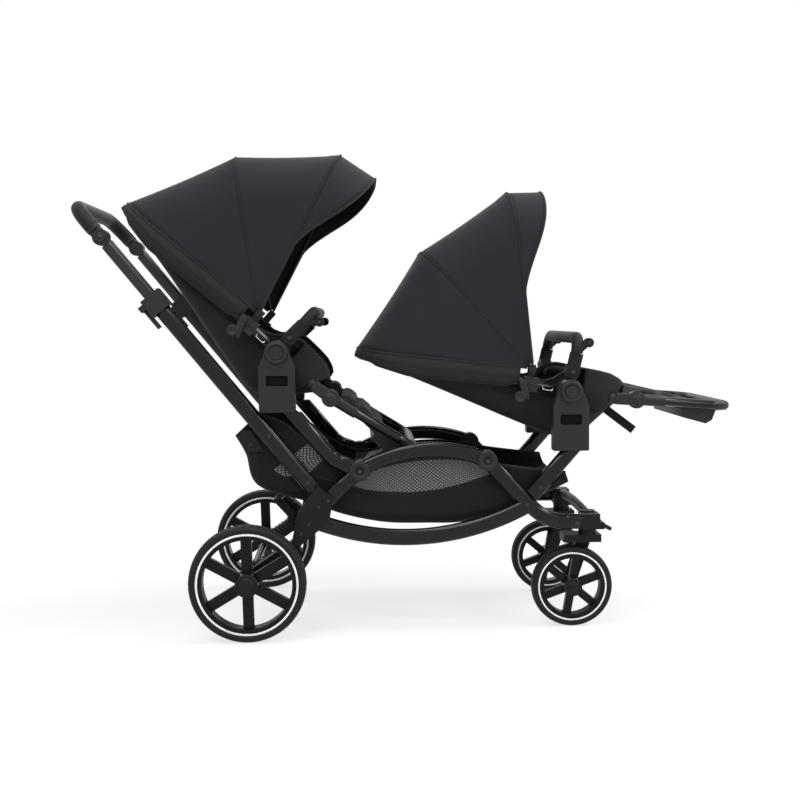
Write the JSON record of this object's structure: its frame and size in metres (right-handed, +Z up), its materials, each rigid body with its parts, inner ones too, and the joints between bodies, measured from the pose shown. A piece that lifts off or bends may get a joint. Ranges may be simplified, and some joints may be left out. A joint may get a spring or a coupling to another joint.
{
  "type": "tandem stroller",
  "caption": "Tandem stroller: a wheeled folding frame with an arched side beam carries a reclining seat with canopy, bumper bar and leg rest at each end, over a long cloth basket.",
  "frame": {"origin": "on the ground, under the middle of the stroller's length and width", "axes": "+X forward, +Y to the left, +Z up"},
  "size_m": [1.5542, 0.605, 1.1274],
  "materials": {
    "frame_paint": "satin black paint",
    "black_plastic": "moulded, fine grain",
    "spring_steel": "plated wire",
    "basket_cloth": "woven",
    "inner_tube": "dark anodised",
    "grip_cover": "foam sleeve",
    "tyre_rubber": "foam filled",
    "rim_plastic": "semi gloss",
    "bumper_cover": "foam sleeve",
    "liner_cloth": "quilted",
    "seat_cloth": "woven",
    "webbing": "webbing",
    "rib_wire": "satin",
    "hood_cloth": "woven"
  },
  "bodies": {
    "chassis": {"push_tubes": "frame_paint", "seat_posts": "frame_paint", "side_beams": "frame_paint", "leg_tubes": "frame_paint", "hinge_covers": "black_plastic", "rear_blocks": "black_plastic", "rear_axle": "frame_paint", "suspension_springs": "spring_steel", "front_knuckles": "black_plastic", "seat_adapters": "black_plastic", "clamp_collars": "black_plastic", "basket": "basket_cloth"},
    "handle": {"handle_tubes": "inner_tube", "handle_joints": "black_plastic", "handle_grip": "grip_cover"},
    "brake_pedal": {"brake_pedal": "black_plastic"},
    "clamp_lever_left": {"clamp_lever_left": "black_plastic"},
    "fork_left": {"fork_left": "black_plastic"},
    "swivel_lock_left": {"swivel_lock_left": "black_plastic"},
    "rear_wheel_left": {"rear_tyre_left": "tyre_rubber", "rear_rim_left": "rim_plastic"},
    "front_wheel_left": {"front_tyre_left": "tyre_rubber", "front_rim_left": "rim_plastic"},
    "clamp_lever_right": {"clamp_lever_right": "black_plastic"},
    "fork_right": {"fork_right": "black_plastic"},
    "swivel_lock_right": {"swivel_lock_right": "black_plastic"},
    "rear_wheel_right": {"rear_tyre_right": "tyre_rubber", "rear_rim_right": "rim_plastic"},
    "front_wheel_right": {"front_tyre_right": "tyre_rubber", "front_rim_right": "rim_plastic"},
    "rear_seat": {"rear_seat_frame": "frame_paint", "rear_seat_hubs": "black_plastic", "rear_seat_shell": "seat_cloth", "rear_seat_pad": "liner_cloth", "rear_harness": "webbing", "rear_hood_back": "hood_cloth"},
    "rear_bumper": {"rear_bumper": "bumper_cover"},
    "rear_leg_rest": {"rear_leg_rest": "inner_tube", "rear_leg_pad": "liner_cloth"},
    "rear_rib_mid": {"rear_rib_mid": "rib_wire", "rear_hood_front": "hood_cloth"},
    "rear_rib_front": {"rear_rib_front": "rib_wire", "rear_visor": "hood_cloth"},
    "rear_button_left": {"rear_button_left": "black_plastic"},
    "rear_button_right": {"rear_button_right": "black_plastic"},
    "front_seat": {"front_seat_frame": "frame_paint", "front_seat_hubs": "black_plastic", "front_seat_shell": "seat_cloth", "front_seat_pad": "liner_cloth", "front_harness": "webbing", "front_hood_back": "hood_cloth"},
    "front_bumper": {"front_bumper": "bumper_cover"},
    "front_leg_rest": {"front_leg_rest": "inner_tube", "front_leg_pad": "liner_cloth"},
    "front_rib_mid": {"front_rib_mid": "rib_wire", "front_hood_front": "hood_cloth"},
    "front_rib_front": {"front_rib_front": "rib_wire", "front_visor": "hood_cloth"},
    "front_button_left": {"front_button_left": "black_plastic"},
    "front_button_right": {"front_button_right": "black_plastic"}
  },
  "joints": [
    {"name": "handle_slide", "type": "slide", "parent": "chassis", "child": "handle", "axis": [-0.6293, 0, 0.7771], "range_m": [-0.04, 0.05]},
    {"name": "brake_press", "type": "hinge", "parent": "chassis", "child": "brake_pedal", "pos_m": [-0.25599, 0, 0.234], "axis": [0, 1, 0], "range_deg": [-25, 0]},
    {"name": "lever_left", "type": "hinge", "parent": "chassis", "child": "clamp_lever_left", "pos_m": [-0.61297, 0.212, 0.7627], "axis": [0, 1, 0], "range_deg": [0, 70]},
    {"name": "fork_swivel_left", "type": "hinge", "parent": "chassis", "child": "fork_left", "pos_m": [0.42101, 0.1785, 0.215], "axis": [0, 0, 1], "continuous": true},
    {"name": "lock_left", "type": "hinge", "parent": "chassis", "child": "swivel_lock_left", "pos_m": [0.45451, 0.1785, 0.242], "axis": [0, 1, 0], "range_deg": [-30, 0]},
    {"name": "rear_wheel_spin_left", "type": "hinge", "parent": "chassis", "child": "rear_wheel_left", "pos_m": [-0.37899, 0.2725, 0.135], "axis": [0, 1, 0], "continuous": true},
    {"name": "front_wheel_spin_left", "type": "hinge", "parent": "fork_left", "child": "front_wheel_left", "pos_m": [0.38301, 0.1785, 0.0965], "axis": [0, 1, 0], "continuous": true},
    {"name": "lever_right", "type": "hinge", "parent": "chassis", "child": "clamp_lever_right", "pos_m": [-0.61297, -0.212, 0.7627], "axis": [0, 1, 0], "range_deg": [0, 70]},
    {"name": "fork_swivel_right", "type": "hinge", "parent": "chassis", "child": "fork_right", "pos_m": [0.42101, -0.1785, 0.215], "axis": [0, 0, 1], "continuous": true},
    {"name": "lock_right", "type": "hinge", "parent": "chassis", "child": "swivel_lock_right", "pos_m": [0.45451, -0.1785, 0.242], "axis": [0, 1, 0], "range_deg": [-30, 0]},
    {"name": "rear_wheel_spin_right", "type": "hinge", "parent": "chassis", "child": "rear_wheel_right", "pos_m": [-0.37899, -0.2725, 0.135], "axis": [0, 1, 0], "continuous": true},
    {"name": "front_wheel_spin_right", "type": "hinge", "parent": "fork_right", "child": "front_wheel_right", "pos_m": [0.38301, -0.1785, 0.0965], "axis": [0, 1, 0], "continuous": true},
    {"name": "rear_seat_tilt", "type": "hinge", "parent": "chassis", "child": "rear_seat", "pos_m": [-0.30799, 0, 0.66], "axis": [0, 1, 0], "range_deg": [-12, 0]},
    {"name": "rear_bumper_swing", "type": "hinge", "parent": "rear_seat", "child": "rear_bumper", "pos_m": [-0.27751, 0, 0.69445], "axis": [0, 1, 0], "range_deg": [0, 35]},
    {"name": "rear_leg_rest_fold", "type": "hinge", "parent": "rear_seat", "child": "rear_leg_rest", "pos_m": [-0.18591, 0, 0.55199], "axis": [0, 1, 0], "range_deg": [-5, 20]},
    {"name": "rear_rib_mid_fold", "type": "hinge", "parent": "rear_seat", "child": "rear_rib_mid", "pos_m": [-0.34823, 0, 0.75034], "axis": [0, -1, 0], "range_deg": [0, 28], "deforming": ["rear_hood_back"]},
    {"name": "rear_rib_front_fold", "type": "hinge", "parent": "rear_rib_mid", "child": "rear_rib_front", "pos_m": [-0.34823, 0, 0.75034], "axis": [0, -1, 0], "range_deg": [0, 24], "deforming": ["rear_hood_front"]},
    {"name": "rear_press_left", "type": "slide", "parent": "rear_seat", "child": "rear_button_left", "axis": [0, -1, 0], "range_m": [0, 0.003], "stiffness_N_per_m": 600},
    {"name": "rear_press_right", "type": "slide", "parent": "rear_seat", "child": "rear_button_right", "axis": [0, 1, 0], "range_m": [0, 0.003], "stiffness_N_per_m": 600},
    {"name": "front_seat_tilt", "type": "hinge", "parent": "chassis", "child": "front_seat", "pos_m": [0.37301, 0, 0.563], "axis": [0, 1, 0], "range_deg": [0, 33]},
    {"name": "front_bumper_swing", "type": "hinge", "parent": "front_seat", "child": "front_bumper", "pos_m": [0.37941, 0, 0.60855], "axis": [0, 1, 0], "range_deg": [0, 35]},
    {"name": "front_leg_rest_fold", "type": "hinge", "parent": "front_seat", "child": "front_leg_rest", "pos_m": [0.53442, 0, 0.54031], "axis": [0, 1, 0], "range_deg": [-5, 30]},
    {"name": "front_rib_mid_fold", "type": "hinge", "parent": "front_seat", "child": "front_rib_mid", "pos_m": [0.28959, 0, 0.61613], "axis": [0, -1, 0], "range_deg": [0, 28], "deforming": ["front_hood_back"]},
    {"name": "front_rib_front_fold", "type": "hinge", "parent": "front_rib_mid", "child": "front_rib_front", "pos_m": [0.28959, 0, 0.61613], "axis": [0, -1, 0], "range_deg": [0, 24], "deforming": ["front_hood_front"]},
    {"name": "front_press_left", "type": "slide", "parent": "front_seat", "child": "front_button_left", "axis": [0, -1, 0], "range_m": [0, 0.003], "stiffness_N_per_m": 600},
    {"name": "front_press_right", "type": "slide", "parent": "front_seat", "child": "front_button_right", "axis": [0, 1, 0], "range_m": [0, 0.003], "stiffness_N_per_m": 600}
  ],
  "couplings": [
    {"joint": "rear_rib_front_fold", "follows": "rear_rib_mid_fold", "ratio": 0.85714},
    {"joint": "front_rib_front_fold", "follows": "front_rib_mid_fold", "ratio": 0.85714}
  ]
}
